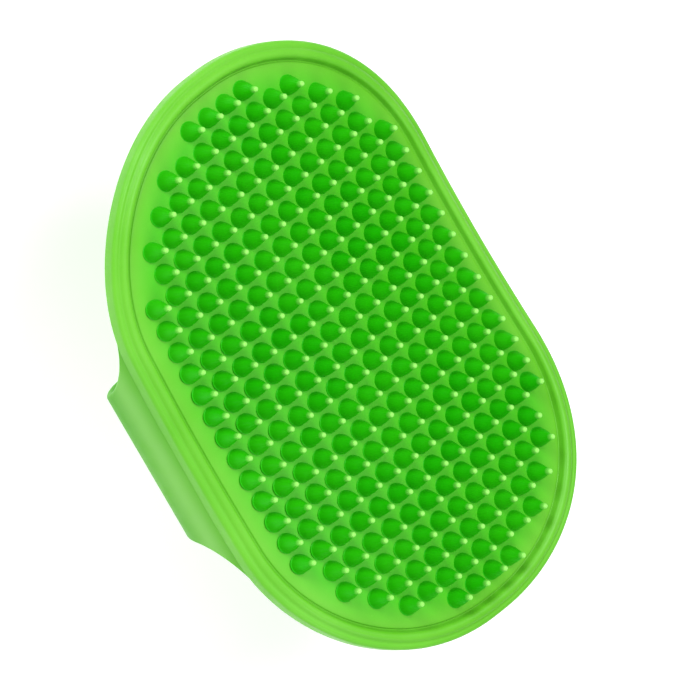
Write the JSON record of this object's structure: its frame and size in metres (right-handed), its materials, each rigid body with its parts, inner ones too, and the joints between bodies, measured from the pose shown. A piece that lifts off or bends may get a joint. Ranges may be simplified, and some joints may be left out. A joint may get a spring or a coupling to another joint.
{
  "type": "rubber curry brush",
  "caption": "Oval arched rubber grooming pad with a thick rim, a square grid of conical pins and a buttoned adjustable hand strap behind it.",
  "frame": {"origin": "centre of the brush on the plane that the strap's two lowest bends rest on", "axes": "+X along the pad's long axis, +Y across the pad towards the studded side of the strap, +Z out of the pins"},
  "size_m": [0.1238, 0.0846, 0.0283],
  "materials": {
    "pad_rubber": "satin moulded rubber",
    "pin_rubber": "satin moulded rubber",
    "strap_rubber": "satin moulded rubber"
  },
  "bodies": {
    "brush": {"pad_plate": "pad_rubber", "rim_bead": "pad_rubber", "pin_row_01": "pin_rubber", "pin_row_02": "pin_rubber", "pin_row_03": "pin_rubber", "pin_row_04": "pin_rubber", "pin_row_05": "pin_rubber", "pin_row_06": "pin_rubber", "pin_row_07": "pin_rubber", "pin_row_08": "pin_rubber", "pin_row_09": "pin_rubber", "pin_row_10": "pin_rubber", "pin_row_11": "pin_rubber", "pin_row_12": "pin_rubber", "pin_row_13": "pin_rubber", "pin_row_14": "pin_rubber", "strap_side_slotted": "strap_rubber", "strap_side_studded": "strap_rubber"},
    "slotted_flap": {"strap_flap_slotted": "strap_rubber"},
    "studded_flap": {"strap_flap_studded": "strap_rubber", "strap_stud_left": "strap_rubber", "strap_stud_right": "strap_rubber"}
  },
  "joints": [
    {"name": "slotted_flap_bend", "type": "hinge", "parent": "brush", "child": "slotted_flap", "pos_m": [0, -0.0272, 0.001], "axis": [-1, 0, 0], "range_deg": [0, 90], "stiffness_Nm_per_rad": 0.03},
    {"name": "studded_flap_bend", "type": "hinge", "parent": "brush", "child": "studded_flap", "pos_m": [0, 0.0272, 0.001], "axis": [-1, 0, 0], "range_deg": [0, 22], "stiffness_Nm_per_rad": 0.03}
  ]
}
